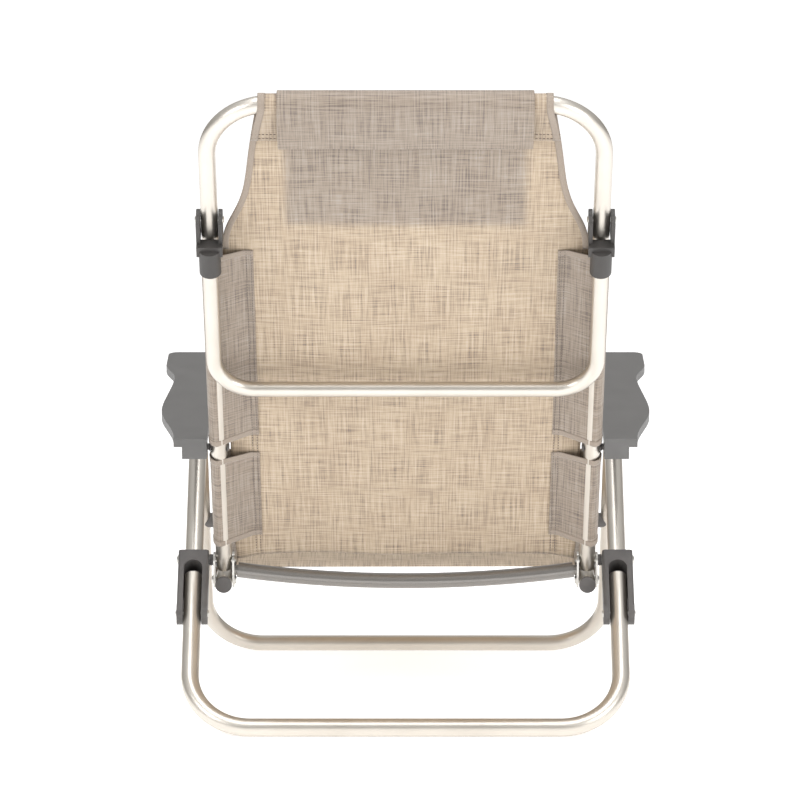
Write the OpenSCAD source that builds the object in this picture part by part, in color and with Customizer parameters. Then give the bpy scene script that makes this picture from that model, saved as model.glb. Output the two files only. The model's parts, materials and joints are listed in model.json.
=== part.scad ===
// Low folding beach chair: tube frame with two U legs, a reclining sling back,
// plastic armrests and a small stand on the back for the lying position.
// +Z up, the sitter faces -Y, origin on the floor under the middle of the chair.

/* [Tubes] */
// Rear leg and strut tube diameter
leg_tube_d = 22; // [20:0.5:25]
// Seat, back and front leg tube diameter
frame_tube_d = 20; // [18:0.5:21]
// Stand tube diameter
stand_tube_d = 18; // [16:0.5:19]
// Wall of every tube
tube_wall = 1.5; // [1.2:0.1:2]

/* [Widths] */
// Centre of the back and seat side tubes from the middle of the chair
back_half = 225.4; // [190:1:270]
// Gap between the back side tube and the leg side tube centres
leg_offset = 37.2; // [36:0.2:44]

/* [Side view] */
// Height of the back hinge above the floor
hinge_h = 185; // [155:1:215]
// Rear leg lean from upright
rear_lean = 44.2; // [42:0.2:47]
// Front leg lean from upright
front_lean = 28.1; // [26:0.2:30]
// Slope of the seat, front up
seat_slope = 8.4; // [6:0.2:10]
// Seat tubes below the hinge, square to the seat
seat_drop = 26; // [25.5:0.5:30]
// Hinge to the front leg pivot, along the seat
pivot_run = 231; // [225:1:260]
// Hinge to the middle of the front seat tube, along the seat
seat_run = 425; // [360:1:500]
// Back lean from upright at rest
back_lean = 35.3; // [34:0.2:37]
// Hinge to the middle of the top bar, along the back
back_len = 737; // [640:1:860]

/* [Legs and struts] */
// Hinge to the armrest catch roller, along the strut
strut_len = 221; // [218:1:224]
// Hinge down to the knee rivet
knee_drop = 79; // [74:1:90]
// Front leg length above its pivot
front_top = 148; // [120:1:149]
// Centre line radius of the leg corners
leg_corner_r = 75; // [50:1:85]
// Centre line radius of the back and seat corners
frame_corner_r = 75; // [50:1:85]

/* [Armrests] */
// Hinge to the armrest pin, along the back
arm_pin_run = 197.3; // [190:0.5:205]
// Slope of the armrest, front up
arm_rise = 7; // [6:0.5:9]
// Armrest length
arm_len = 406; // [400:1:430]
// Armrest plate thickness
arm_plate = 10; // [8:0.5:12]
// Armrest width at the rear end
arm_rear_w = 40; // [36:1:50]
// Armrest width at the belly
arm_belly_w = 61.5; // [50:1:70]
// Armrest width at the waist
arm_waist_w = 53; // [45:1:60]
// Armrest width at the front
arm_front_w = 67; // [55:1:75]

/* [Stand] */
// Middle of the top bar down to the stand rivet, along the back
stand_from_top = 173; // [137:1:257]
// Stand rivet to the middle of its bar
stand_len = 249; // [200:1:280]
// Centre line radius of the stand corners
stand_corner_r = 48; // [40:1:60]
// Stand tube behind the back tube, centre to centre
stand_gap = 22.5; // [22:0.5:26]

/* [Fittings] */
// Hinge and leg rivet diameter
rivet_d = 8; // [6:0.5:9]
// Knee and stand rivet diameter
small_rivet_d = 6; // [5:0.5:7]
// Radial clearance of turning fits
run_clear = 0.06; // [0.03:0.01:0.1]
// Clearance between parts that pass each other
side_clear = 0.5; // [0.4:0.1:0.8]
// Hinge plate thickness
plate_t = 2.5; // [2:0.1:3]
// Knee fork cheek thickness
cheek_t = 7.4; // [6:0.2:8]
// Catch roller diameter
roller_d = 12; // [10:0.5:12]

/* [Fabric] */
// Sling cloth thickness as modelled
cloth_t = 1.6; // [1.2:0.1:2]
// Sleeve seam inward from the tube centre
seam_in = 38; // [30:1:45]
// Pillow thickness
pillow_t = 34; // [20:1:45]
// Pillow half width
pillow_half = 144.5; // [90:0.5:148]

/* [Hidden] */
// Hinge to the stand rivet, along the back
stand_run = back_len - stand_from_top;
$fn = 48;

frame_r = frame_tube_d / 2;
leg_r = leg_tube_d / 2;
stand_r = stand_tube_d / 2;
leg_half = back_half + leg_offset;
tiny = 0.01;

// Side view places: forward distance and height from the rear floor bar
hinge_f = (hinge_h - leg_r) * tan(rear_lean);
seat_c = cos(seat_slope);
seat_s = sin(seat_slope);
pivot_f = hinge_f + pivot_run * seat_c + seat_drop * seat_s;
pivot_h = hinge_h + pivot_run * seat_s - seat_drop * seat_c;
front_low = (pivot_h - frame_r) / cos(front_lean);
seat_front_f = hinge_f + seat_run * seat_c + seat_drop * seat_s + frame_r;
sleeve_r = frame_r + cloth_t + 0.3;
roll_t = 4;
roll_r = sleeve_r + 0.5 + roll_t;
back_top_f = hinge_f - back_len * sin(back_lean) - roll_r;
mid_f = (seat_front_f + back_top_f) / 2;

// Hinge hardware, outward from the back tube
plate_in_x = back_half + frame_r + side_clear;
fork_half_w = leg_r + side_clear + cheek_t;
fork_in_x = leg_half - fork_half_w;
end_below = 10.5;
seat_tail = 18;
plug_t = 3;

// Sleeves: runs along the back and along the seat where cloth wraps the tube
panel_y = 7;
wrap_run = 40;
wrap_flap = 36;
back_sleeve_runs = [[33, 180], [214, stand_run - 62]];
seat_sleeve_runs = [[30, pivot_run - 26], [pivot_run + 26, seat_run - frame_corner_r - 6]];

// Axis frames: each has +Z along its tube and +Y to the rear or upward
module at_side(f, h) translate([0, mid_f - f, h]) children();
module on_back() at_side(hinge_f, hinge_h) rotate([-back_lean, 0, 0]) children();
module on_strut() at_side(hinge_f, hinge_h) rotate([rear_lean, 0, 0]) children();
module on_front_leg() at_side(pivot_f, pivot_h) rotate([-front_lean, 0, 0]) children();
module on_seat() {
    at_side(hinge_f + seat_drop * seat_s, hinge_h - seat_drop * seat_c)
        rotate([90 - seat_slope, 0, 0]) children();
}
module on_arm() {
    at_side(hinge_f - arm_pin_run * sin(back_lean), hinge_h + arm_pin_run * cos(back_lean))
        rotate([-arm_rise, 0, 0]) children();
}
module both_sides() {
    children();
    mirror([1, 0, 0]) children();
}

// A round bar along X, from x0 to x1
module bar_x(x0, x1, r) translate([x0, 0, 0]) rotate([0, 90, 0]) cylinder(r = r, h = x1 - x0);

// Ring section of a tube
module tube_ring(r) {
    difference() {
        circle(r);
        circle(r - tube_wall);
    }
}

// U of tube: bar at z = 0, legs up to z = rise at x = +-half
module tube_u(half, rise, r, bend) {
    both_sides() {
        translate([half, 0, bend]) linear_extrude(rise - bend) tube_ring(r);
        translate([half - bend, 0, bend]) rotate([90, 0, 0])
            rotate([0, 0, -90]) rotate_extrude(angle = 90) translate([bend, 0]) tube_ring(r);
    }
    translate([-(half - bend), 0, 0]) rotate([0, 90, 0]) linear_extrude(2 * (half - bend)) tube_ring(r);
}

// Rounded rectangle made of exact squares and circles
module soft_rect(w, d, r) {
    square([w - 2 * r, d], center = true);
    square([w, d - 2 * r], center = true);
    for (sx = [-1, 1], sy = [-1, 1]) translate([sx * (w / 2 - r), sy * (d / 2 - r)]) circle(r);
}

// Rivet along X with a domed head at each end
module rivet(x0, x1, d) {
    head_h = d * 0.3;
    bar_x(x0, x1, d / 2);
    for (end = [[x0, -1], [x1, 1]]) translate([end[0], 0, 0]) intersection() {
        rotate([0, 90, 0]) translate([0, 0, -end[1] * d * 0.55]) sphere(d * 0.95);
        bar_x(end[1] > 0 ? 0 : -head_h, end[1] > 0 ? head_h : 0, d);
    }
}

// ---- Seat ----
module seat_frame() {
    color("silver") difference() {
        on_seat() translate([0, 0, seat_run]) mirror([0, 0, 1])
            tube_u(back_half, seat_run + seat_tail, frame_r, frame_corner_r);
        on_seat() both_sides() for (z = [0, pivot_run])
            translate([0, 0, z]) bar_x(back_half - frame_r - 1, back_half + frame_r + 1, rivet_d / 2);
    }
}

module seat_end_plugs() {
    color("dimgray") on_seat() both_sides() translate([back_half, 0, -seat_tail]) {
        translate([0, 0, -plug_t]) cylinder(r = frame_r + 0.4, h = plug_t);
        cylinder(r = frame_r - tube_wall, h = seat_tail - rivet_d / 2 - 2);
    }
}

// Plate outline: a bar with round ends from the hinge to the seat tube pin
module plate(x0) {
    plate_r = 10;
    translate([x0, 0, 0]) difference() {
        union() {
            for (y = [0, seat_drop]) translate([0, y, 0]) bar_x(0, plate_t, plate_r);
            translate([0, 0, -plate_r]) cube([plate_t, seat_drop, 2 * plate_r]);
        }
        bar_x(-1, plate_t + 1, rivet_d / 2);
        translate([0, seat_drop, 0]) bar_x(-1, plate_t + 1, rivet_d / 2);
    }
}

module hinge_plates() {
    color("gainsboro") on_seat() both_sides() {
        plate(plate_in_x);
        plate(back_half - frame_r - side_clear - plate_t);
    }
}

module seat_pins() {
    color("gainsboro") on_seat() both_sides()
        rivet(back_half - frame_r - side_clear - plate_t, plate_in_x + plate_t, rivet_d);
}

module hinge_rivets() {
    color("gainsboro") on_strut() both_sides()
        rivet(back_half - frame_r - side_clear - plate_t, leg_half + fork_half_w, rivet_d);
}

module hinge_washers() {
    washer_x = plate_in_x + plate_t;
    color("dimgray") on_strut() both_sides() difference() {
        bar_x(washer_x, fork_in_x - side_clear, 7);
        bar_x(washer_x - 1, fork_in_x, rivet_d / 2);
    }
}

module leg_rivets() {
    color("gainsboro") on_front_leg() both_sides()
        rivet(back_half - frame_r, leg_half + frame_r + side_clear, rivet_d);
}

// Bowed tube between the inner hinge plates, sagging a little in its middle
module cross_tube() {
    tube_r = 9.6;
    neck_r = 6;
    neck_len = 4;
    sag = 14;
    span_half = back_half - frame_r - side_clear - plate_t;
    arc_half = span_half - neck_len;
    arc_r = (arc_half * arc_half + sag * sag) / (2 * sag);
    arc_a = asin(arc_half / arc_r);
    color("dimgray") on_seat() translate([0, seat_drop / 2, 0]) rotate([-(90 - seat_slope), 0, 0]) {
        translate([0, 0, arc_r - sag]) rotate([90, 0, 0])
            rotate([0, 0, -90 - arc_a]) rotate_extrude(angle = 2 * arc_a, $fn = 960)
                translate([arc_r, 0]) circle(tube_r, $fn = 48);
        both_sides() bar_x(arc_half - 4, span_half, neck_r);
    }
}

// Sleeve section: a teardrop round each side tube, open where the tube runs
module sleeve_section() {
    flap_y = sleeve_r * 0.96;
    flap_x = back_half - sleeve_r * 0.28;
    for (side = [-1, 1]) scale([side, 1]) difference() {
        union() {
            translate([back_half, 0]) circle(sleeve_r);
            polygon([[back_half - seam_in, panel_y],
                     [back_half - seam_in, panel_y + cloth_t],
                     [back_half, sleeve_r],
                     [back_half, 0],
                     [flap_x, -flap_y]]);
        }
        translate([back_half, 0]) circle(frame_r + 0.3);
    }
}

// Flat cloth along +Z between the sleeves, up to the wrap of the cross bar
module sling_panel(z0, bar_z) {
    translate([-(back_half - seam_in), panel_y, z0])
        cube([2 * (back_half - seam_in), cloth_t, bar_z - wrap_run - z0]);
}

// Cloth round the tubes: sleeves on the side tubes, and a wrap over the cross bar
module sling_sleeves(bar_z, sleeves) {
    panel_end = bar_z - wrap_run;
    wrap_half = back_half - frame_corner_r;
    for (run = sleeves) translate([0, 0, run[0]]) linear_extrude(run[1] - run[0]) sleeve_section();
    difference() {
        union() {
            translate([0, 0, bar_z]) bar_x(-wrap_half, wrap_half, sleeve_r);
            translate([-wrap_half, panel_y, panel_end]) cube([2 * wrap_half, cloth_t, wrap_flap]);
        }
        translate([0, 0, bar_z]) bar_x(-back_half, back_half, frame_r + 0.3);
    }
}

module seat_sling() {
    color("tan") on_seat() sling_panel(24, seat_run);
}

module seat_sleeves() {
    color("tan") on_seat() sling_sleeves(seat_run, seat_sleeve_runs);
}

// ---- Back ----
module back_frame() {
    color("silver") difference() {
        on_back() translate([0, 0, back_len]) mirror([0, 0, 1])
            tube_u(back_half, back_len + end_below, frame_r, frame_corner_r);
        on_back() both_sides() {
            bar_x(back_half - frame_r - 1, back_half + frame_r + 1, rivet_d / 2 + run_clear);
            translate([0, 0, arm_pin_run])
                bar_x(back_half - frame_r - 1, back_half + frame_r + 1, rivet_d / 2);
            translate([0, 0, stand_run])
                bar_x(back_half - frame_r - 1, back_half + frame_r + 1, small_rivet_d / 2);
        }
    }
}

module back_end_plugs() {
    color("dimgray") on_back() both_sides() translate([back_half, 0, -end_below])
        cylinder(r = frame_r - tube_wall, h = end_below - rivet_d / 2 - 1);
}

module back_sling() {
    color("tan") on_back() mirror([0, 1, 0]) sling_panel(8, back_len);
}

module back_sleeves() {
    color("tan") on_back() mirror([0, 1, 0]) sling_sleeves(back_len, back_sleeve_runs);
}

module headrest_pillow() {
    pillow_low = back_len - 178;
    pillow_high = back_len + 5;
    pillow_end = 8;
    color("tan") on_back() {
        translate([0, roll_t - roll_r - pillow_t / 2, (pillow_low + pillow_high) / 2])
            rotate([0, 90, 0]) translate([0, 0, -pillow_half]) linear_extrude(2 * pillow_half)
                soft_rect(pillow_high - pillow_low, pillow_t, pillow_end);
        translate([0, 0, back_len]) difference() {
            bar_x(-pillow_half, pillow_half, roll_r);
            bar_x(-pillow_half - 1, pillow_half + 1, roll_r - roll_t);
            translate([-pillow_half - 1, -roll_r - 1, -2 * roll_r])
                cube([2 * pillow_half + 2, 2 * roll_r + 2, 2 * roll_r]);
        }
        translate([-pillow_half, roll_r - roll_t, back_len - 46]) cube([2 * pillow_half, roll_t, 46]);
    }
}

module arm_pins() {
    color("dimgray") on_back() translate([0, 0, arm_pin_run]) both_sides() {
        rivet(back_half - frame_r, back_half + frame_r + 0.3, rivet_d);
        bar_x(back_half, arm_in_x + block_w - 2, rivet_d / 2);
    }
}

module stand_rivets() {
    color("gainsboro") on_back() translate([0, 0, stand_run]) both_sides()
        rivet(back_half - stand_fork_half, back_half + stand_fork_half, small_rivet_d);
}

// ---- Stand ----
stand_cheek = 4.6;
stand_fork_half = frame_r + side_clear + stand_cheek;
stand_socket_r = stand_r + 3.6;
clip_top = 12;
clip_saddle = -26;
clip_low = -61;

module stand_tube() {
    color("silver") on_back() translate([0, stand_gap, stand_run - stand_len])
        tube_u(back_half, stand_len + clip_saddle - 4, stand_r, stand_corner_r);
}

// Clip: two cheeks round the back tube, and a socket behind it for the stand
module stand_clip() {
    on_back() translate([back_half, 0, stand_run]) difference() {
        union() {
            for (s = [-1, 1]) {
                cheek_x = s > 0 ? frame_r + side_clear : -stand_fork_half;
                translate([cheek_x, -7, clip_saddle]) cube([stand_cheek, stand_gap + 5, clip_top - 2 - clip_saddle]);
                translate([cheek_x, 0, 0]) bar_x(0, stand_cheek, clip_top);
            }
            translate([0, stand_gap, clip_low]) cylinder(r = stand_socket_r, h = clip_saddle - clip_low);
            translate([-stand_fork_half, sleeve_r + side_clear, clip_saddle - 8])
                cube([2 * stand_fork_half, stand_gap - sleeve_r - side_clear + 5, 14]);
        }
        translate([0, stand_gap, clip_low - 1]) cylinder(r = stand_r, h = clip_saddle - 4 - clip_low + 1);
        bar_x(-30, 30, small_rivet_d / 2 + run_clear);
        translate([0, 0, clip_low - 1]) cylinder(r = sleeve_r + 0.4, h = clip_saddle - clip_low + 3);
    }
}
module stand_clip_left() color("dimgray") stand_clip();
module stand_clip_right() color("dimgray") mirror([1, 0, 0]) stand_clip();

// ---- Armrests ----
arm_in_x = back_half + sleeve_r + 2.6;
arm_tail = 13;
arm_top_z = 13;
rack_half_w = 9;
rack_low_z = -22.4;
rack_from = 118;
rack_to = arm_len - arm_tail - 8;
notch_runs = [223, 265, 301, 337, 371];
block_w = 30;
block_len = 26;

// Outer edge of the armrest: smooth steps between its widths, and a round front corner
arm_widths = [[0, arm_rear_w], [0.335, arm_belly_w], [0.69, arm_waist_w], [0.85, arm_front_w], [1, arm_front_w]];
function ease(t) = (1 - cos(180 * t)) / 2;
function arm_w(t, i = 0) =
    t > arm_widths[i + 1][0] && i < 3 ? arm_w(t, i + 1) :
    arm_widths[i][1] + (arm_widths[i + 1][1] - arm_widths[i][1])
        * ease((t - arm_widths[i][0]) / (arm_widths[i + 1][0] - arm_widths[i][0]));

module arm_outline() {
    corner = 12;
    steps = 30;
    flat_to = 1 - corner / arm_len;
    edge = [for (i = [0:steps]) let (t = flat_to * i / steps) [arm_w(t), arm_tail - arm_len * t]];
    polygon(concat([[0, arm_tail]], edge, [[0, arm_tail - arm_len + corner]]));
    translate([arm_front_w - corner, arm_tail - arm_len + corner]) circle(corner);
    translate([corner, arm_tail - arm_len + corner]) circle(corner);
    translate([corner, arm_tail - arm_len]) square([arm_front_w - 2 * corner, corner + 0.5]);
}

module armrest() {
    color("gray") on_arm() difference() {
        union() {
            translate([arm_in_x, 0, arm_top_z - arm_plate]) linear_extrude(arm_plate) arm_outline();
            translate([arm_in_x, arm_tail - block_len, -arm_top_z + 1]) cube([block_w, block_len, 2 * arm_top_z - arm_plate]);
            translate([leg_half - rack_half_w, -rack_to, rack_low_z])
                cube([2 * rack_half_w, rack_to - rack_from, arm_top_z - arm_plate - rack_low_z + tiny]);
        }
        bar_x(arm_in_x - 1, arm_in_x + block_w + 1, rivet_d / 2 + run_clear);
        for (run = notch_runs) translate([0, -run, rack_low_z])
            bar_x(leg_half - rack_half_w - 1, leg_half + rack_half_w + 1, roller_d / 2 + 0.5);
    }
}
module armrest_left() armrest();
module armrest_right() mirror([1, 0, 0]) armrest();

// ---- Struts and knee forks ----
strut_low = -5.5;
strut_top = strut_len - 11;
module strut() {
    color("silver") on_strut() difference() {
        translate([leg_half, 0, strut_low]) linear_extrude(strut_top - strut_low) tube_ring(leg_r);
        bar_x(leg_half - leg_r - 1, leg_half + leg_r + 1, rivet_d / 2 + run_clear);
    }
}
module strut_left() strut();
module strut_right() mirror([1, 0, 0]) strut();

// Fork: a socket for the strut, and a channel open to the rear that holds the leg
fork_top = 6;
fork_d = 28;
channel_half = leg_r + 0.4;
arch_z = -20;
web_low = 30 - knee_drop;
leg_stub_top = -24;
module knee_fork() {
    color("dimgray") on_strut() translate([leg_half, 0, 0]) difference() {
        union() {
            translate([0, 0, -knee_drop]) linear_extrude(knee_drop + fork_top) soft_rect(2 * fork_half_w, fork_d, 4);
            for (s = [-1, 1]) translate([s > 0 ? channel_half : -fork_half_w, 0, -knee_drop])
                bar_x(0, fork_half_w - channel_half, 14);
        }
        translate([0, 0, strut_low]) cylinder(r = leg_r, h = fork_top - strut_low + 1);
        translate([-channel_half, -leg_r - 0.3, -knee_drop - 20])
            cube([2 * channel_half, fork_d, knee_drop + 20 + arch_z]);
        translate([0, -leg_r - 0.3, arch_z]) rotate([-90, 0, 0]) cylinder(r = channel_half, h = fork_d);
        translate([-channel_half, -fork_d, -knee_drop - 20])
            cube([2 * channel_half, fork_d, knee_drop + 20 + web_low]);
        bar_x(-30, 30, small_rivet_d / 2);
        translate([0, 0, -knee_drop]) bar_x(-30, 30, small_rivet_d / 2);
        bar_x(-30, 30, rivet_d / 2 + run_clear);
    }
}
module knee_fork_left() knee_fork();
module knee_fork_right() mirror([1, 0, 0]) knee_fork();

// Plastic cap on the strut with the round bar that the armrest notches drop on
module catch_roller() {
    color("dimgray") on_strut() translate([leg_half, 0, 0]) {
        translate([0, 0, strut_top - 16]) cylinder(r = leg_r - tube_wall, h = 16);
        translate([0, 0, strut_top]) cylinder(r1 = leg_r, r2 = roller_d / 2, h = strut_len - strut_top);
        translate([0, 0, strut_len]) bar_x(-14, 14, roller_d / 2);
    }
}
module catch_roller_left() catch_roller();
module catch_roller_right() mirror([1, 0, 0]) catch_roller();

module knee_rivets() {
    color("gainsboro") on_strut() translate([0, 0, -knee_drop]) both_sides()
        rivet(leg_half - fork_half_w, leg_half + fork_half_w, small_rivet_d);
}

// ---- Legs ----
rear_low = hinge_f / sin(rear_lean);
module rear_leg() {
    color("silver") on_strut() difference() {
        translate([0, 0, -rear_low]) tube_u(leg_half, rear_low + leg_stub_top, leg_r, leg_corner_r);
        translate([0, 0, -knee_drop]) both_sides()
            bar_x(leg_half - leg_r - 1, leg_half + leg_r + 1, small_rivet_d / 2 + run_clear);
    }
}

module rear_leg_plugs() {
    color("dimgray") on_strut() both_sides() translate([leg_half, 0, leg_stub_top]) {
        cylinder(r = leg_r - 1, h = 1.5);
        translate([0, 0, -14]) cylinder(r = leg_r - tube_wall, h = 14);
    }
}

module front_leg() {
    color("silver") on_front_leg() difference() {
        translate([0, 0, -front_low]) tube_u(leg_half, front_low + front_top - plug_t, frame_r, leg_corner_r);
        both_sides() bar_x(leg_half - frame_r - 1, leg_half + frame_r + 1, rivet_d / 2 + run_clear);
    }
}

module front_leg_plugs() {
    color("dimgray") on_front_leg() both_sides() translate([leg_half, 0, front_top - plug_t]) {
        cylinder(r = frame_r, h = plug_t);
        translate([0, 0, -14]) cylinder(r = frame_r - tube_wall, h = 14);
    }
}

// Spacers that keep the front leg off the seat tube, hollowed to sit on the leg
module leg_spacers() {
    color("dimgray") on_front_leg() both_sides() difference() {
        bar_x(back_half + frame_r + side_clear, leg_half, 9.5);
        translate([leg_half, 0, -20]) cylinder(r = frame_r, h = 40);
        bar_x(back_half, leg_half + 1, rivet_d / 2 + run_clear);
    }
}

seat_frame();
seat_end_plugs();
hinge_plates();
seat_pins();
hinge_rivets();
hinge_washers();
leg_rivets();
cross_tube();
seat_sling();
seat_sleeves();
back_frame();
back_end_plugs();
back_sling();
back_sleeves();
headrest_pillow();
arm_pins();
stand_rivets();
stand_tube();
stand_clip_left();
stand_clip_right();
armrest_left();
armrest_right();
strut_left();
strut_right();
knee_fork_left();
knee_fork_right();
catch_roller_left();
catch_roller_right();
knee_rivets();
rear_leg();
rear_leg_plugs();
front_leg();
front_leg_plugs();
leg_spacers();
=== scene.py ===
# Low folding beach chair: bent aluminium tube, moulded grey fittings and a woven mesh sling.
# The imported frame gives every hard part; this file adds the finishes and the cloth.
import json
import math

import bmesh
import bpy
import numpy as np
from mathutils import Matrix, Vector


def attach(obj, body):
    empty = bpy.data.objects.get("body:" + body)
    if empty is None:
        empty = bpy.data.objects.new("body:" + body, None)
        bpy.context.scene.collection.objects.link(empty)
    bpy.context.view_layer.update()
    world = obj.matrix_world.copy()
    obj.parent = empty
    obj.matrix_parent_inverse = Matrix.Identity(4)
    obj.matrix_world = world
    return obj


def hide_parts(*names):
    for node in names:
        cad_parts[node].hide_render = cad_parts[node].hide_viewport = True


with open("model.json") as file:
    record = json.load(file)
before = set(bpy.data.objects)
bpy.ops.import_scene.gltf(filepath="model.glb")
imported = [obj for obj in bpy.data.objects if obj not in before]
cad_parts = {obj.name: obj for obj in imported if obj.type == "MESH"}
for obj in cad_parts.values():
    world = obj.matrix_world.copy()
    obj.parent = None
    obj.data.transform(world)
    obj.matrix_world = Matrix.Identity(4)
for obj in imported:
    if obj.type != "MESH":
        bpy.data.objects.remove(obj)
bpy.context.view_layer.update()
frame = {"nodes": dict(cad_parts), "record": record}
joints = {joint["name"]: joint for joint in frame["record"]["behaviour"]["joints"]}

# ---- Camera ----
# A long lens looking slightly down at the back of the chair from about five metres.
camera_data = bpy.data.cameras.new("camera")
camera_data.lens = 191.25
camera_data.sensor_width = 36
camera_data.shift_x = -0.0069
camera = bpy.data.objects.new("camera", camera_data)
camera.location = (0, 5.183, 1.1747)
camera.rotation_euler = (math.radians(90 - 8.65), 0, math.pi)
bpy.context.scene.collection.objects.link(camera)
bpy.context.scene.camera = camera

# ---- Studio ----
# A wide white floor that fills the view behind the chair, with three large soft lamps and an even sky.
floor_mesh = bpy.data.meshes.new("studio_floor")
floor_mesh.from_pydata([(-40, -40, 0), (40, -40, 0), (40, 40, 0), (-40, 40, 0)], [], [(0, 1, 2, 3)])
floor = bpy.data.objects.new("studio_floor", floor_mesh)
bpy.context.scene.collection.objects.link(floor)


def linear(code):
    """sRGB hex code turned to linear red, green, blue and alpha."""
    part = np.array([int(code[i:i + 2], 16) for i in (1, 3, 5)]) / 255
    part = np.where(part <= 0.04045, part / 12.92, ((part + 0.055) / 1.055) ** 2.4)
    return (*part.tolist(), 1.0)


def add_node(material, kind, links=None, **settings):
    """Adds one shader node; settings are its properties, links map an input to a socket or a value."""
    node = material.node_tree.nodes.new(kind)
    for name, value in settings.items():
        setattr(node, name, value)
    for name, value in (links or {}).items():
        if isinstance(value, bpy.types.NodeSocket):
            material.node_tree.links.new(value, node.inputs[name])
        else:
            node.inputs[name].default_value = value
    return node


def new_material(name, **surface):
    """A material with a principled shader whose own sockets take the given constants."""
    material = bpy.data.materials.new(name)
    material.use_nodes = True
    shader = material.node_tree.nodes["Principled BSDF"]
    for socket, value in surface.items():
        shader.inputs[socket.replace("_", " ")].default_value = value
    return material, shader


def finish(node_names, material):
    """Gives one material to CAD nodes that keep their own shape."""
    for name in node_names:
        mesh = frame["nodes"][name].data
        mesh.materials.clear()
        mesh.materials.append(material)


paper, _ = new_material("white_paper", Base_Color=linear("#fbfbfb"), Roughness=0.9,
                        Emission_Color=linear("#ffffff"), Emission_Strength=0.52)
floor_mesh.materials.append(paper)

# The sky is white where it is seen, and dimmer and banded where it lights the chair, as the dark
# flags beside a studio tent are, so that round tubes get their darker edges.
world = bpy.data.worlds.new("studio")
world.use_nodes = True
seen = world.node_tree.nodes["Background"]
seen.inputs["Color"].default_value = linear("#ffffff")
seen.inputs["Strength"].default_value = 1.0
sky_place = add_node(world, "ShaderNodeTexCoord").outputs["Generated"]
sky_parts = add_node(world, "ShaderNodeSeparateXYZ", {"Vector": sky_place})
height = add_node(world, "ShaderNodeMapRange", {"Value": sky_parts.outputs["Z"], "From Min": -1.0})
sky = add_node(world, "ShaderNodeValToRGB", {"Fac": height.outputs["Result"]})
sky.color_ramp.elements[0].color = linear("#a39d97")
sky.color_ramp.elements[1].color = linear("#ffffff")
band = sky.color_ramp.elements.new(0.5)
band.color = linear("#8c8883")
shoulder = sky.color_ramp.elements.new(0.66)
shoulder.color = linear("#d8d6d3")
lit = add_node(world, "ShaderNodeBackground", {"Color": sky.outputs["Color"], "Strength": 0.75})
ray = add_node(world, "ShaderNodeLightPath")
both_skies = add_node(world, "ShaderNodeMixShader", {"Fac": ray.outputs["Is Camera Ray"]})
world.node_tree.links.new(lit.outputs["Background"], both_skies.inputs[1])
world.node_tree.links.new(seen.outputs["Background"], both_skies.inputs[2])
sky_output = world.node_tree.nodes["World Output"]
world.node_tree.links.new(both_skies.outputs["Shader"], sky_output.inputs["Surface"])
bpy.context.scene.world = world
bpy.context.scene.view_settings.view_transform = "Standard"

for name, place, aim, size, power in (
        ("lamp_overhead", (0.0, 1.0, 3.2), (0, 0, 0.4), 2.4, 60),
        ("lamp_left", (2.6, 2.6, 1.7), (0, 0, 0.4), 1.4, 34),
        ("lamp_right", (-2.6, 2.6, 1.5), (0, 0, 0.4), 1.4, 40)):
    lamp_data = bpy.data.lights.new(name, "AREA")
    lamp_data.size = size
    lamp_data.energy = power
    lamp = bpy.data.objects.new(name, lamp_data)
    lamp.location = place
    lamp.rotation_euler = (Vector(aim) - Vector(place)).to_track_quat("-Z", "Y").to_euler()
    bpy.context.scene.collection.objects.link(lamp)

# ---- Bent tubes ----
# Drawn aluminium tube, bent cold and satin anodised, so it is a pale warm grey with soft long
# highlights and very fine drawing lines.
aluminium, aluminium_shader = new_material(
    "satin_anodised_aluminium", Metallic=1.0, Roughness=0.36)
place = add_node(aluminium, "ShaderNodeTexCoord").outputs["Object"]
# Drawing lines are a few hundredths of a millimetre apart; drawn about 2 mm apart so that they show.
lines = add_node(aluminium, "ShaderNodeTexNoise", {"Vector": place, "Scale": 420.0, "Detail": 3.0})
clouds = add_node(aluminium, "ShaderNodeTexNoise", {"Vector": place, "Scale": 14.0, "Detail": 2.0})
tone = add_node(aluminium, "ShaderNodeValToRGB", {"Fac": clouds.outputs["Fac"]})
tone.color_ramp.elements[0].color = linear("#dcd7cf")
tone.color_ramp.elements[1].color = linear("#cac4bb")
grain = add_node(aluminium, "ShaderNodeMapRange", {
    "Value": lines.outputs["Fac"], "To Min": 0.31, "To Max": 0.43})
relief = add_node(aluminium, "ShaderNodeBump", {
    "Height": lines.outputs["Fac"], "Strength": 0.06, "Distance": 0.0002})
wire = aluminium.node_tree.links.new
wire(tone.outputs["Color"], aluminium_shader.inputs["Base Color"])
wire(grain.outputs["Result"], aluminium_shader.inputs["Roughness"])
wire(relief.outputs["Normal"], aluminium_shader.inputs["Normal"])
finish(["seat_frame", "back_frame", "stand_tube", "strut_left", "strut_right", "rear_leg", "front_leg"],
       aluminium)

# ---- Rivets and hinge plates ----
# Zinc plated steel, stamped and headed, bright with a slight cloud from the plating.
zinc, zinc_shader = new_material("zinc_plated_steel", Metallic=1.0, Roughness=0.3)
place = add_node(zinc, "ShaderNodeTexCoord").outputs["Object"]
bloom = add_node(zinc, "ShaderNodeTexNoise", {"Vector": place, "Scale": 260.0, "Detail": 4.0})
shade = add_node(zinc, "ShaderNodeValToRGB", {"Fac": bloom.outputs["Fac"]})
shade.color_ramp.elements[0].color = linear("#b9b7b2")
shade.color_ramp.elements[1].color = linear("#dedcd8")
dull = add_node(zinc, "ShaderNodeMapRange", {
    "Value": bloom.outputs["Fac"], "To Min": 0.22, "To Max": 0.4})
zinc.node_tree.links.new(shade.outputs["Color"], zinc_shader.inputs["Base Color"])
zinc.node_tree.links.new(dull.outputs["Result"], zinc_shader.inputs["Roughness"])
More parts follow.
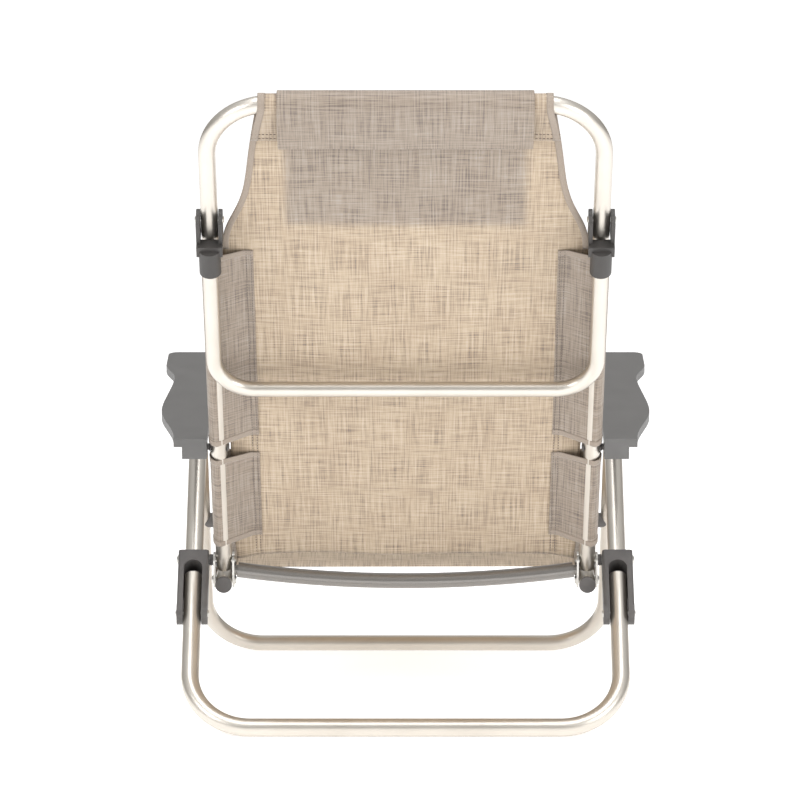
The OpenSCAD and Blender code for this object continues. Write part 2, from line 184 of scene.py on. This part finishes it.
finish(["hinge_plates", "seat_pins", "hinge_rivets", "leg_rivets", "stand_rivets", "knee_rivets"], zinc)

# ---- Cross tube ----
# Steel tube, bent to a shallow bow and powder coated dark grey, with the coat's faint orange peel.
coat, coat_shader = new_material(
    "grey_powder_coat", Metallic=0.6, Roughness=0.3, Coat_Weight=0.5, Coat_Roughness=0.12)
place = add_node(coat, "ShaderNodeTexCoord").outputs["Object"]
peel = add_node(coat, "ShaderNodeTexNoise", {"Vector": place, "Scale": 600.0, "Detail": 2.0})
tint = add_node(coat, "ShaderNodeValToRGB", {"Fac": peel.outputs["Fac"]})
tint.color_ramp.elements[0].color = linear("#7c7976")
tint.color_ramp.elements[1].color = linear("#8e8b87")
relief = add_node(coat, "ShaderNodeBump", {
    "Height": peel.outputs["Fac"], "Strength": 0.12, "Distance": 0.0002})
coat.node_tree.links.new(tint.outputs["Color"], coat_shader.inputs["Base Color"])
coat.node_tree.links.new(relief.outputs["Normal"], coat_shader.inputs["Normal"])
finish(["cross_tube"], coat)


# ---- Moulded fittings ----
# Glass filled nylon clips, forks, plugs and spacers, moulded with a fine spark texture, so they are
# dark grey and dull with soft rounded edges.
def moulded_grey(name, dark, light, grit_mm, rough):
    """A matte moulded plastic: two close tones, a spark texture of the given grit and soft wear."""
    material, shader = new_material(name, Roughness=rough, IOR=1.53)
    place = add_node(material, "ShaderNodeTexCoord").outputs["Object"]
    grit = add_node(material, "ShaderNodeTexNoise", {
        "Vector": place, "Scale": 1000 / grit_mm, "Detail": 2.0})
    flow = add_node(material, "ShaderNodeTexNoise", {"Vector": place, "Scale": 35.0, "Detail": 3.0})
    tones = add_node(material, "ShaderNodeValToRGB", {"Fac": flow.outputs["Fac"]})
    tones.color_ramp.elements[0].position = 0.3
    tones.color_ramp.elements[0].color = linear(dark)
    tones.color_ramp.elements[1].position = 0.7
    tones.color_ramp.elements[1].color = linear(light)
    sheen = add_node(material, "ShaderNodeMapRange", {
        "Value": flow.outputs["Fac"], "To Min": rough - 0.06, "To Max": rough + 0.06})
    bump = add_node(material, "ShaderNodeBump", {
        "Height": grit.outputs["Fac"], "Strength": 0.25, "Distance": 0.0003})
    material.node_tree.links.new(tones.outputs["Color"], shader.inputs["Base Color"])
    material.node_tree.links.new(sheen.outputs["Result"], shader.inputs["Roughness"])
    material.node_tree.links.new(bump.outputs["Normal"], shader.inputs["Normal"])
    return material


def rounded_copy(node, body, material, radius, tight=35.0):
    """A CAD node's shape with its loose triangles merged and its sharp edges rounded by radius."""
    mesh = frame["nodes"][node].data.copy()
    shape = bmesh.new()
    shape.from_mesh(mesh)
    bmesh.ops.remove_doubles(shape, verts=shape.verts, dist=0.00001)
    bmesh.ops.dissolve_limit(shape, angle_limit=math.radians(1.0), verts=shape.verts, edges=shape.edges)
    for face in shape.faces:
        face.smooth = True
    for edge in shape.edges:
        edge.smooth = edge.calc_face_angle(0) < math.radians(tight)
    shape.to_mesh(mesh)
    shape.free()
    mesh.materials.clear()
    mesh.materials.append(material)
    piece = bpy.data.objects.new(node + "_moulded", mesh)
    bpy.context.scene.collection.objects.link(piece)
    bevel = piece.modifiers.new("rounded_edges", "BEVEL")
    bevel.width = radius
    bevel.segments = 3
    bevel.limit_method = "ANGLE"
    bevel.angle_limit = math.radians(tight)
    bevel.harden_normals = True
    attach(piece, body)
    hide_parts(node)
    return piece


fitting_grey = moulded_grey("glass_filled_nylon", "#524f4e", "#5e5b59", 0.9, 0.5)
finish(["seat_end_plugs", "hinge_washers", "back_end_plugs", "arm_pins", "catch_roller_left",
        "catch_roller_right", "rear_leg_plugs", "front_leg_plugs", "leg_spacers"], fitting_grey)
clip_grey = moulded_grey("dark_glass_filled_nylon", "#383635", "#413e3c", 0.9, 0.5)
for side in ("left", "right"):
    rounded_copy("stand_clip_" + side, "stand", clip_grey, 0.0010)
    rounded_copy("knee_fork_" + side, "struts", fitting_grey, 0.0010)

# ---- Armrests ----
# Polypropylene armrests, moulded in one piece with a smooth top and softly rounded edges.
armrest_grey = moulded_grey("moulded_polypropylene", "#5b5a59", "#636261", 1.1, 0.45)
for side in ("left", "right"):
    rounded_copy("armrest_" + side, "armrest_" + side, armrest_grey, 0.0024)

# ---- Mesh cloth ----
# PVC coated polyester yarn woven in an open mesh, with yarns of cream, tan and grey brown, so that
# the cloth is streaked along both yarns and slightly shiny where the coated yarns cross.
yarn_mm = 1.9   # the real yarns are about 1 mm apart, too fine to show


def mesh_cloth(name, cream, tan, streak, contrast=1.0):
    """Woven melange: streaks along U and V over a yarn grid; a point attribute darkens it with painted
    shade where cloth layers stack.
    """
    material, shader = new_material(name, Roughness=0.62, IOR=1.5, Sheen_Weight=0.15)
    uv = add_node(material, "ShaderNodeUVMap", uv_map="cloth_mm").outputs["UV"]
    heights = []
    for along, across, seed in ((48.0, yarn_mm, 3.1), (yarn_mm, 70.0, 17.7)):
        stretched = add_node(material, "ShaderNodeMapping", {
            "Vector": uv, "Location": (seed, seed * 2, 0), "Scale": (1 / along, 1 / across, 1)})
        streaks = add_node(material, "ShaderNodeTexNoise", {
            "Vector": stretched.outputs["Vector"], "Scale": 1.0, "Detail": 3.0, "Roughness": 0.62})
        yarns = add_node(material, "ShaderNodeMapRange", {
            "Value": streaks.outputs["Fac"], "From Min": 0.50 - 0.17 / contrast,
            "From Max": 0.50 + 0.17 / contrast})
        heights.append(yarns.outputs["Result"])
    both = add_node(material, "ShaderNodeMath", {0: heights[0], 1: heights[1]}, operation="ADD")
    halved = add_node(material, "ShaderNodeMath", {0: both.outputs[0], 1: 0.5}, operation="MULTIPLY")
    tones = add_node(material, "ShaderNodeValToRGB", {"Fac": halved.outputs[0]})
    tones.color_ramp.elements[0].position = 0.12
    tones.color_ramp.elements[0].color = linear(streak)
    tones.color_ramp.elements[1].position = 0.9
    tones.color_ramp.elements[1].color = linear(cream)
    middle = tones.color_ramp.elements.new(0.5)
    middle.color = linear(tan)
    # Slow drift of tone from one batch of yarn to the next, about 60 mm wide.
    patch = add_node(material, "ShaderNodeMapping", {"Vector": uv, "Scale": (1 / 60, 1 / 60, 1)})
    drift = add_node(material, "ShaderNodeTexNoise", {
        "Vector": patch.outputs["Vector"], "Scale": 1.0, "Detail": 2.0})
    greyer = add_node(material, "ShaderNodeMixRGB", {
        "Fac": drift.outputs["Fac"], "Color1": linear("#ffffff"), "Color2": linear("#d9cfc9")},
        blend_type="MIX")
    toned = add_node(material, "ShaderNodeMixRGB", {
        "Fac": 0.6, "Color1": tones.outputs["Color"], "Color2": greyer.outputs["Color"]},
        blend_type="MULTIPLY")
    # Painted shade: the colour is multiplied toward a cool grey as far as the shade attribute says, for
    # light lost where cloth layers stack.
    layer_shade = add_node(material, "ShaderNodeAttribute", attribute_name="layer_shade")
    shaded = add_node(material, "ShaderNodeMixRGB", {
        "Fac": layer_shade.outputs["Fac"], "Color1": toned.outputs["Color"], "Color2": linear("#d3d7e2")},
        blend_type="MULTIPLY")
    material.node_tree.links.new(shaded.outputs["Color"], shader.inputs["Base Color"])
    # Each yarn is a low ridge; the grid is one wave along U and one along V.
    grid = []
    for turn in ((math.pi / yarn_mm, 0, 0), (0, math.pi / yarn_mm, 0)):
        wave = add_node(material, "ShaderNodeVectorMath", {0: uv, 1: turn}, operation="DOT_PRODUCT")
        ridge = add_node(material, "ShaderNodeMath", {0: wave.outputs["Value"]}, operation="SINE")
        grid.append(add_node(material, "ShaderNodeMath", {0: ridge.outputs[0]}, operation="ABSOLUTE"))
    weave = add_node(material, "ShaderNodeMath", {
        0: grid[0].outputs[0], 1: grid[1].outputs[0]}, operation="MULTIPLY")
    bump = add_node(material, "ShaderNodeBump", {
        "Height": weave.outputs[0], "Strength": 0.35, "Distance": 0.0005})
    material.node_tree.links.new(bump.outputs["Normal"], shader.inputs["Normal"])
    return material


cloth = mesh_cloth("coated_polyester_mesh", "#cfc2b0", "#b9a78f", "#7a6d64", contrast=0.85)


def grid_mesh(name, points, uv_mm, material, layer_shade=None, closed=False):
    """Puts a grid of points, shape (rows, columns, 3) in metres, into a mesh of quads.

    uv_mm has shape (rows, columns, 2); the shade grid, shape (rows, columns), is painted shade, 1 where
    layers overlap.
    closed joins the last row back to the first.
    """
    rows, columns = points.shape[:2]
    index = np.arange(rows * columns).reshape(rows, columns)
    if closed:
        index = np.vstack([index, index[:1]])
    quads = np.stack([index[:-1, :-1], index[:-1, 1:], index[1:, 1:], index[1:, :-1]], axis=-1)
    quads = quads.reshape(-1, 4)
    mesh = bpy.data.meshes.new(name)
    mesh.from_pydata(points.reshape(-1, 3).tolist(), [], quads.tolist())
    layer = mesh.uv_layers.new(name="cloth_mm")
    layer.data.foreach_set("uv", uv_mm.reshape(-1, 2)[quads.reshape(-1)].astype(np.float32).ravel())
    shade = mesh.attributes.new("layer_shade", "FLOAT", "POINT")
    amount = np.zeros(rows * columns) if layer_shade is None else layer_shade.reshape(-1)
    shade.data.foreach_set("value", amount.astype(np.float32))
    mesh.polygons.foreach_set("use_smooth", np.ones(len(quads), dtype=bool))
    mesh.materials.append(material)
    piece = bpy.data.objects.new(name, mesh)
    bpy.context.scene.collection.objects.link(piece)
    return piece


def local_frame(joint_name, lean, base=(0.0, 0.0), face=1):
    """Returns a map from (x, n, s) in mm to metres: s runs along the tube, n square to the cloth.

    lean is the angle of s from upright, tipping to the rear; base moves the origin by (n, s). n points
    away from the sitter: to the rear on the back, and down on the seat, which takes a face of -1.
    """
    origin = np.array(joints[joint_name]["pos_m"])
    along = np.array([0.0, math.sin(lean), math.cos(lean)])
    normal = face * np.array([0.0, math.cos(lean), -math.sin(lean)])

    def to_world(x, n, s):
        x, n, s = np.broadcast_arrays(x, n, s)
        place = (n + base[0])[..., None] * normal + (s + base[1])[..., None] * along
        place[..., 0] += x
        return place / 1000 + origin
    return to_world


def thicken(piece, thickness):
    """Gives a cloth surface its thickness, evenly to both sides."""
    wall = piece.modifiers.new("cloth_thickness", "SOLIDIFY")
    wall.thickness = thickness / 1000
    wall.offset = 0


back_lean = math.radians(35.3)
on_back = local_frame("recline", back_lean)
back_x = 225.4
back_len = 737.0
panel_n = -9.2
wrap_r = 11.2

# ---- Back panel ----
# One cut of mesh that runs in front of the side tubes. It narrows in a curve above the stand rivets
# to the width of the top bar, and hangs free of the tube between the two sleeves.
edge_s = np.array([2, 25, 536, 552, 572, 594, 624, 654, 702, 737.0])
edge_x = np.array([208, 212, 212, 205, 195, 187, 182, 179, 172, 166.0])
s_line = np.linspace(2, 738, 150)
half_width = np.interp(s_line, edge_s, edge_x)
half_width = np.convolve(np.pad(half_width, 4, mode="edge"), np.ones(9) / 9, mode="valid")
t_line = np.linspace(-1, 1, 96)
S, T = np.meshgrid(s_line, t_line, indexing="ij")
panel_x = T * half_width[:, None]
slack = 2.6 * np.cos(np.pi * T / 2) * np.sin(np.pi * np.clip((S - 2) / 740, 0, 1))
ripple = 0.7 * np.sin(S / 41.0 + 2.0 * T) * np.cos(T * 5.0) + 0.5 * np.sin(panel_x / 23.0 + S / 90.0)
lip = 1.6 * np.exp(-((S - 2) / 16.0) ** 2) * np.cos(6 * T)
drop = -7.0 * np.exp(-((S - 2) / 26.0) ** 2) * np.clip(np.abs(T) - 0.86, 0, 1) / 0.14
# Painted shade: the panel is darkened where the pillow hangs in front of it, as if less light came
# through the open mesh there.
pillow_shadow = (1 / (1 + np.exp(-(138 - np.abs(panel_x)) / 2.0))) / (1 + np.exp(-(S - 549) / 2.0))
back_panel = grid_mesh(
    "back_panel", on_back(panel_x, panel_n + slack + ripple + lip, S + drop),
    np.stack([panel_x, S], axis=-1), cloth, layer_shade=0.95 * pillow_shadow)
thicken(back_panel, 0.9)
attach(back_panel, "back")
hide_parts("back_sling", "back_sleeves")

# ---- Side sleeves ----
# On each side the cloth turns round the tube from the front and comes back behind it, where two rows
# of stitches hold it to the panel. Its ends are bound with folded tape.


def sleeve_profile(centre_x, seam_x, front_n, radius=wrap_r, flat_n=None):
    """Section of a sleeve in (x, n): from the panel in front, round the tube, back to the seam.

    The middle is an arc about the tube's centre; the last stretch is straight and lands on the panel.
    """
    arc = np.radians(np.linspace(-110, 78, 30))
    round_x = centre_x + radius * np.cos(arc)
    round_n = radius * np.sin(arc)
    front_x = np.linspace(centre_x - 14, round_x[0], 5)[:-1]
    front = np.linspace(front_n - 0.9, round_n[0], 5)[:-1]
    blend = np.linspace(0, 1, 14)[1:]
    rear_x = round_x[-1] + (seam_x - round_x[-1]) * blend
    land_n = front_n + 1.6 if flat_n is None else flat_n
    rear = np.maximum(round_n[-1] + (land_n - 4.6 - round_n[-1]) * blend, land_n)
    return np.concatenate([front_x, round_x, rear_x]), np.concatenate([front, round_n, rear])


def lengths_of(x, n):
    """Distance run along a section, in the units of its points."""
    return np.concatenate([[0], np.cumsum(np.hypot(np.diff(x), np.diff(n)))])


# Carried cloth takes full painted shade unless told otherwise, darkened as a stacked layer of mesh.
def carry(name, to_world, x, n, s_values, material, side=1, flare=None, layer_shade=1.0):
    """A section (x, n) carried along s; the surface is position(profile, s) = (side * x, n, s)."""
    s_grid = np.repeat(np.asarray(s_values)[:, None], len(x), axis=1)
    if flare is not None:
        s_grid = s_grid + flare(s_grid, x[None, :])
    run = lengths_of(x, n)
    points = to_world(side * np.repeat(x[None, :], len(s_values), 0),
                      np.repeat(n[None, :], len(s_values), 0), s_grid)
    uv = np.stack([np.repeat(side * (x[0] + run)[None, :], len(s_values), 0), s_grid], axis=-1)
    if side < 0:
        points, uv = points[:, ::-1], uv[:, ::-1]
    return grid_mesh(name, points, uv, material, layer_shade=np.full(s_grid.shape, layer_shade))


woven_tape, tape_shader = new_material("woven_binding_tape", Roughness=0.7, Sheen_Weight=0.2)
place = add_node(woven_tape, "ShaderNodeTexCoord").outputs["Object"]
fibre = add_node(woven_tape, "ShaderNodeTexNoise", {"Vector": place, "Scale": 900.0, "Detail": 3.0})
tape_tone = add_node(woven_tape, "ShaderNodeValToRGB", {"Fac": fibre.outputs["Fac"]})
tape_tone.color_ramp.elements[0].color = linear("#85796e")
tape_tone.color_ramp.elements[1].color = linear("#a39689")
tape_bump = add_node(woven_tape, "ShaderNodeBump", {
    "Height": fibre.outputs["Fac"], "Strength": 0.3, "Distance": 0.0003})
woven_tape.node_tree.links.new(tape_tone.outputs["Color"], tape_shader.inputs["Base Color"])
woven_tape.node_tree.links.new(tape_bump.outputs["Normal"], tape_shader.inputs["Normal"])

thread, thread_shader = new_material("brown_polyester_thread", Roughness=0.6, Sheen_Weight=0.2)
place = add_node(thread, "ShaderNodeTexCoord").outputs["Object"]
twist = add_node(thread, "ShaderNodeTexNoise", {"Vector": place, "Scale": 1500.0, "Detail": 1.0})
thread_tone = add_node(thread, "ShaderNodeValToRGB", {"Fac": twist.outputs["Fac"]})
thread_tone.color_ramp.elements[0].color = linear("#5f544c")
thread_tone.color_ramp.elements[1].color = linear("#7d7168")
thread.node_tree.links.new(thread_tone.outputs["Color"], thread_shader.inputs["Base Color"])


def stitch_rows(name, body, starts, ends, normals, pitch_mm=4.2, radius_mm=0.55):
    """Rows of stitches: each is a short six sided bead on the line from a start to an end.

    A bead's point is centre + t * along * pitch / 3 + r(t) * (cos a * normal + sin a * across), with
    r(t) falling to nothing at both ends.
    """
    points, faces = [], []
    angle = np.linspace(0, 2 * np.pi, 6, endpoint=False)
    t = np.array([-1.0, -0.6, 0.6, 1.0])
    r = radius_mm / 1000 * np.array([0.25, 1.0, 1.0, 0.25])
    first = 0
    for start, end, normal in zip(starts, ends, normals):
        start, end, normal = map(np.asarray, (start, end, normal))
        length = np.linalg.norm(end - start)
        along = (end - start) / length
        across = np.cross(along, normal)
        count = max(int(length * 1000 / pitch_mm), 1)
        centre = start + (np.arange(count)[:, None] + 0.5) / count * (end - start)
        ring = (np.cos(angle)[:, None] * normal + np.sin(angle)[:, None] * across)
        bead = (centre[:, None, None] + t[None, :, None, None] * along * pitch_mm / 3000
                + r[None, :, None, None] * ring[None, None])
        points.append(bead.reshape(-1, 3))
        base = np.arange(4)[:, None] * 6 + np.arange(6)
        turned = np.roll(base, -1, axis=1)
        side = np.stack([base[:-1], turned[:-1], turned[1:], base[1:]], axis=-1).reshape(-1, 4)
        index = first + (np.arange(count) * 24)[:, None, None] + side[None]
        faces += index.reshape(-1, 4).tolist()
        for cap in (base[0][::-1], base[-1]):
            faces += (first + (np.arange(count) * 24)[:, None] + cap[None]).tolist()
        first += count * 24
    mesh = bpy.data.meshes.new(name)
    mesh.from_pydata(np.concatenate(points).tolist(), [], faces)
    mesh.materials.append(thread)
    piece = bpy.data.objects.new(name, mesh)
    bpy.context.scene.collection.objects.link(piece)
    shape = bmesh.new()
    shape.from_mesh(mesh)
    bmesh.ops.recalc_face_normals(shape, faces=shape.faces)
    shape.to_mesh(mesh)
    shape.free()
    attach(piece, body)
    return piece


seam_x = 180.0
tape_w = 7.5
sleeve_x, sleeve_n = sleeve_profile(back_x, seam_x - 3, panel_n)
for low, high, label in ((39, 180, "lower"), (212, 509, "upper")):
    for side, hand in ((1, "left"), (-1, "right")):
        def slope(s, x, low=low, high=high):
            """Both ends of a sleeve spread by 3.5 mm from the seam to the tube."""
            return 3.5 * np.clip((x - seam_x) / 45, 0, 1) * (1 - 2 * (s - low) / (high - low)) * -1
        sleeve = carry("back_sleeve_%s_%s" % (label, hand), on_back, sleeve_x, sleeve_n,
                       np.linspace(low, high, 40), cloth, side, slope)
        thicken(sleeve, 0.9)
        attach(sleeve, "back")
        for end, inward in ((low, 1), (high, -1)):
            hem_x, hem_n = sleeve_profile(back_x, seam_x - 3, panel_n, wrap_r + 0.75, panel_n + 2.3)
            band = np.linspace(end - 0.6 * inward, end + tape_w * inward, 5)
            hem = carry("back_tape_%s_%s_%d" % (label, hand, end), on_back, hem_x, hem_n,
                        np.sort(band), woven_tape, side, slope)
            thicken(hem, 0.7)
            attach(hem, "back")

# ---- Top wrap ----
# The head of the panel goes over the top bar and down behind it, and two rows of stitches close it.
arc = np.radians(np.linspace(180, 8, 26))
wrap_n = np.concatenate([[panel_n - 0.8], wrap_r * np.cos(arc),
                         np.linspace(wrap_r * math.cos(arc[-1]), panel_n + 2.2, 14)[1:]])
wrap_s = np.concatenate([[back_len - 34], back_len + wrap_r * np.sin(arc),
                         np.linspace(back_len - 2, 677, 14)[1:]])
wrap_x = np.linspace(-1, 1, 60)
wrap_half = np.interp(wrap_s, edge_s, edge_x) - 0.6
WX = wrap_x[None, :] * wrap_half[:, None]
run = lengths_of(wrap_n, wrap_s)
# The wrap lies over the panel and takes a light painted shade for the stacked cloth.
top_wrap = grid_mesh(
    "top_wrap", on_back(WX, wrap_n[:, None] + 0 * WX, wrap_s[:, None] + 0 * WX),
    np.stack([WX, run[:, None] + 40 + 0 * WX], axis=-1), cloth, layer_shade=np.full(WX.shape, 0.25))
thicken(top_wrap, 0.9)
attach(top_wrap, "back")

wrap_tape_x = np.linspace(-7.5, 0.6, 5)
for side, hand in ((1, "left"), (-1, "right")):
    TX = side * (wrap_half[:, None] + wrap_tape_x[None, :])
    out_n = wrap_n + 0.7 * np.cos(np.arctan2(wrap_s - back_len, wrap_n))
    out_n[27:] = wrap_n[27:] + 0.75
    out_s = wrap_s + 0.7 * np.clip((wrap_s - back_len) / wrap_r, 0, 1)
    wrap_tape = grid_mesh(
        "wrap_tape_" + hand, on_back(TX, out_n[:, None] + 0 * TX, out_s[:, None] + 0 * TX),
        np.stack([TX, run[:, None] + 0 * TX], axis=-1), woven_tape)
    thicken(wrap_tape, 0.7)
    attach(wrap_tape, "back")

# ---- Edge binding ----
# Folded tape sewn over the raw edge of the curved cut-outs, about 7 mm wide on each face.
edge_line = np.concatenate([np.linspace(512, 700, 60), np.linspace(700, 734, 12)[1:]])
edge_half = np.interp(edge_line, s_line, half_width)
ring = np.linspace(0, 2 * np.pi, 17)[:-1]
flat_x = np.sign(np.cos(ring)) * np.abs(np.cos(ring)) ** 0.5 * 3.8
flat_n = np.sign(np.sin(ring)) * np.abs(np.sin(ring)) ** 0.8 * 1.5
for side, hand in ((1, "left"), (-1, "right")):
    tangent_x = np.gradient(edge_half, edge_line)
    scale = 1 / np.hypot(1, tangent_x)
    bx = edge_half[None, :] - 3.2 + flat_x[:, None] * scale[None, :]
    bs = edge_line[None, :] - flat_x[:, None] * (tangent_x * scale)[None, :]
    bn = panel_n + 0.9 + flat_n[:, None] + 0 * bx
    binding = grid_mesh("cut_out_binding_" + hand, on_back(side * bx, bn, bs),
                        np.stack([side * bx, bs], axis=-1), woven_tape, closed=True)
    shape = bmesh.new()
    shape.from_mesh(binding.data)
    bmesh.ops.holes_fill(shape, edges=shape.edges, sides=0)
    bmesh.ops.recalc_face_normals(shape, faces=shape.faces)
    shape.to_mesh(binding.data)
    shape.free()
    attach(binding, "back")

# ---- Stitches ----
# Two rows of dark thread run down each side seam, and two close the wrap on the top bar.
rear = (0.0, math.cos(back_lean), -math.sin(back_lean))
starts, ends, normals = [], [], []
for side in (1, -1):
    for x in (seam_x - 0.5, seam_x + 5.0):
        flap_n = float(np.interp(x, sleeve_x[:-15:-1], sleeve_n[:-15:-1])) + 0.75
        for low, high, height_n in ((6, 39, panel_n + 1.1), (39, 180, flap_n), (180, 212, panel_n + 1.9),
                                    (212, 509, flap_n)):
            starts.append(on_back(side * x, height_n, low))
            ends.append(on_back(side * x, height_n, high))
            normals.append(rear)
for s in (681.5, 689.5):
    height_n = float(np.interp(s, wrap_s[:-15:-1], wrap_n[:-15:-1])) + 0.75
    for side in (1, -1):
        starts.append(on_back(side * 146.0, height_n, s))
        ends.append(on_back(side * 176.0, height_n, s))
        normals.append(rear)
stitch_rows("back_stitches", "back", starts, ends, normals)

# ---- Head pillow ----
# A flat filled pad of the same mesh hangs in front of the panel from a strap of cloth that goes over
# the top bar and lies against the wrap behind it.
pillow_x = 144.5
low_s, high_s = 562.0, 733.0
u = np.linspace(-1, 1, 61)
v = np.linspace(-1, 1, 41)
U, V = np.meshgrid(u, v, indexing="ij")
crown = (1 - np.abs(U) ** 5) ** 0.6 * (1 - np.abs(V) ** 3) ** 0.6
pull = 1 - 0.02 * (1 - np.abs(V)) * np.abs(U) ** 3 - 0.015 * np.cos(np.pi * V / 2)
px = pillow_x * U * pull
ps = (low_s + high_s) / 2 + (high_s - low_s) / 2 * V * (1 - 0.02 * np.cos(np.pi * U / 2))
mid_n = -16.5
puckers = 0.8 * np.sin(U * 34) * np.abs(V) ** 6 + 0.8 * np.sin(V * 22) * np.abs(U) ** 8
front_face = mid_n - 2.0 - 23.0 * crown + puckers
rear_face = mid_n + 2.0 + 1.6 * crown
loop = np.concatenate([np.stack([px, front_face, ps], -1),
                       np.stack([px, rear_face, ps], -1)[:, ::-1]], axis=1)
loop_uv = np.concatenate([np.stack([px, ps], -1), np.stack([px, 400 + ps], -1)[:, ::-1]], axis=1)
loop_points = on_back(loop[..., 0], loop[..., 1], loop[..., 2])
pillow = grid_mesh("head_pillow", loop_points.transpose(1, 0, 2), loop_uv.transpose(1, 0, 2), cloth,
                   closed=True)
shape = bmesh.new()
shape.from_mesh(pillow.data)
bmesh.ops.holes_fill(shape, edges=shape.edges, sides=0)
bmesh.ops.triangulate(shape, faces=[face for face in shape.faces if len(face.verts) > 4])
bmesh.ops.recalc_face_normals(shape, faces=shape.faces)
shape.to_mesh(pillow.data)
shape.free()
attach(pillow, "back")
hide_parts("headrest_pillow")

# The strap is a section in (n, s) carried along x, 3 mm thick, with a soft rounded hem behind.
strap_r = wrap_r + 2.6
arc = np.radians(np.linspace(200, 5, 30))
strap_n = np.concatenate([strap_r * np.cos(arc), np.linspace(strap_r * math.cos(arc[-1]), 3.2, 16)[1:]])
strap_s = np.concatenate([back_len + strap_r * np.sin(arc), np.linspace(back_len - 2, 673.5, 16)[1:]])
strap_n[31:] += 1.6 * np.sin(np.linspace(0, np.pi, len(strap_n) - 31))
SX = np.linspace(-pillow_x, pillow_x, 90)
bulge = 0.5 * np.sin(SX / 19.0)[None, :] * np.clip((740 - strap_s)[:, None] / 60, 0, 1)
across_strap = SX[None, :] + 0 * strap_n[:, None]
down_strap = strap_s[:, None] + 0 * SX[None, :]
strap_run = lengths_of(strap_n, strap_s)
# The strap lies over the wrap and takes full painted shade for the stacked cloth.
strap = grid_mesh(
    "pillow_strap", on_back(across_strap, strap_n[:, None] + bulge, down_strap),
    np.stack([across_strap, -strap_run[:, None] + 0 * SX[None, :]], -1),
    cloth, layer_shade=np.full((len(strap_n), len(SX)), 1.0))
thicken(strap, 3.0)
soft = strap.modifiers.new("soft_hem", "BEVEL")
soft.width = 0.0012
soft.segments = 3
soft.limit_method = "ANGLE"
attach(strap, "back")

# ---- Seat sling ----
# The same mesh over the seat tubes, above them, with two sleeves a side and a wrap on the front bar.
seat_slope = math.radians(8.4)
seat_run = 425.0
# s runs forward along the seat and n points down, so the cloth lies on the side of negative n.
on_seat = local_frame("recline", seat_slope - math.pi / 2, base=(26.0, 0.0), face=-1)
seat_line = np.linspace(24, seat_run + 2, 90)
seat_edge_s = np.array([24, 330, 350, 372, 398, 425.0])
seat_edge_x = np.array([212, 212, 200, 186, 176, 166.0])
seat_half = np.interp(seat_line, seat_edge_s, seat_edge_x)
seat_half = np.convolve(np.pad(seat_half, 4, mode="edge"), np.ones(9) / 9, mode="valid")
S, T = np.meshgrid(seat_line, t_line, indexing="ij")
seat_x = T * seat_half[:, None]
sag = 5.0 * np.cos(np.pi * T / 2) * np.sin(np.pi * np.clip((S - 24) / 400, 0, 1))
seat_panel = grid_mesh(
    "seat_panel", on_seat(seat_x, panel_n + sag + 0.5 * np.sin(S / 37.0 + T), S),
    np.stack([seat_x, S + 900], axis=-1), cloth)
thicken(seat_panel, 0.9)
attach(seat_panel, "seat")
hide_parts("seat_sling", "seat_sleeves")
seat_pieces = []
for low, high, label in ((30, 205, "rear"), (257, 344, "front")):
    for side, hand in ((1, "left"), (-1, "right")):
        sleeve = carry("seat_sleeve_%s_%s" % (label, hand), on_seat, sleeve_x, sleeve_n,
                       np.linspace(low, high, 24), cloth, side)
        thicken(sleeve, 0.9)
        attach(sleeve, "seat")
        seat_pieces.append(sleeve)
        for end, inward in ((low, 1), (high, -1)):
            band = np.sort(np.linspace(end - 0.6 * inward, end + tape_w * inward, 5))
            hem_x, hem_n = sleeve_profile(back_x, seam_x - 3, panel_n, wrap_r + 0.75, panel_n + 2.3)
            hem = carry("seat_tape_%s_%s_%d" % (label, hand, end), on_seat, hem_x, hem_n, band,
                        woven_tape, side)
            thicken(hem, 0.7)
            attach(hem, "seat")
            seat_pieces.append(hem)
seat_wrap_s = wrap_s - back_len + seat_run
seat_wrap_half = np.interp(seat_wrap_s, seat_edge_s, seat_edge_x) - 0.6
WX = wrap_x[None, :] * seat_wrap_half[:, None]
# The front wrap lies over the seat panel and takes a light painted shade for the stacked cloth.
seat_wrap = grid_mesh(
    "seat_front_wrap", on_seat(WX, wrap_n[:, None] + 0 * WX, seat_wrap_s[:, None] + 0 * WX),
    np.stack([WX, run[:, None] + 1300 + 0 * WX], axis=-1), cloth, layer_shade=np.full(WX.shape, 0.25))
thicken(seat_wrap, 0.9)
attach(seat_wrap, "seat")
under = (0.0, -math.cos(seat_slope - math.pi / 2), math.sin(seat_slope - math.pi / 2))
starts, ends, normals = [], [], []
for side in (1, -1):
    for x in (seam_x - 0.5, seam_x + 5.0):
        flap_n = float(np.interp(x, sleeve_x[:-15:-1], sleeve_n[:-15:-1])) + 0.75
        starts.append(on_seat(side * x, flap_n, 30))
        ends.append(on_seat(side * x, flap_n, 344))
        normals.append(under)
seat_pieces += [seat_wrap, stitch_rows("seat_stitches", "seat", starts, ends, normals)]
